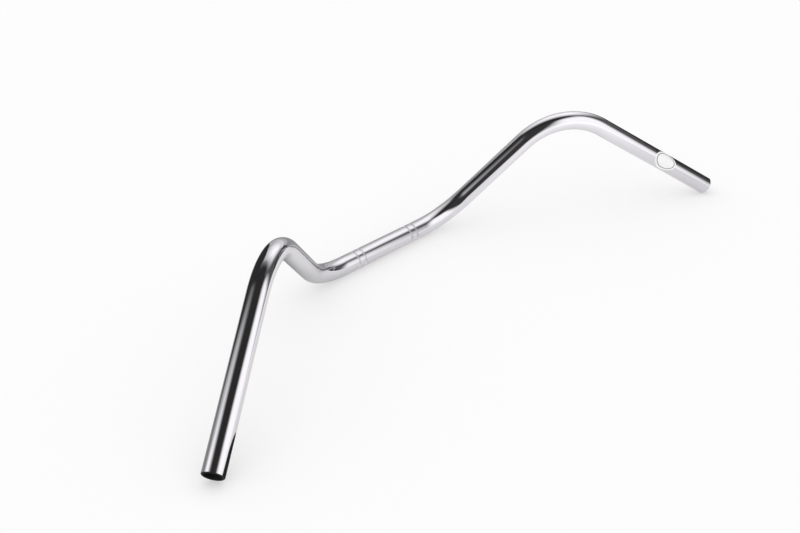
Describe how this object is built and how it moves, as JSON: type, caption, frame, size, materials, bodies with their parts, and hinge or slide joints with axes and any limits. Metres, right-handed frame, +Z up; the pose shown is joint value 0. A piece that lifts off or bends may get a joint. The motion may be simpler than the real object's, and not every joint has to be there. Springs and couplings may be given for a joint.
{
  "type": "motorcycle handlebar",
  "caption": "Chromed steel handlebar bent from one tube: a straight knurled clamp run, risers leaning out, and long grips swept down and back to open ends.",
  "frame": {"origin": "middle of the clamp run, on the tube's centreline", "axes": "+X along the clamp run towards the rider's right, +Y forward, away from the grips, +Z up, with the bar lying at rest on its clamp run and both grip ends"},
  "size_m": [0.8458, 0.2092, 0.1328],
  "materials": {
    "chrome": "polished chrome plate on steel",
    "label": "white vinyl film"
  },
  "bodies": {
    "root": {"handlebar_tube": "chrome", "grip_label": "label"}
  },
  "joints": []
}
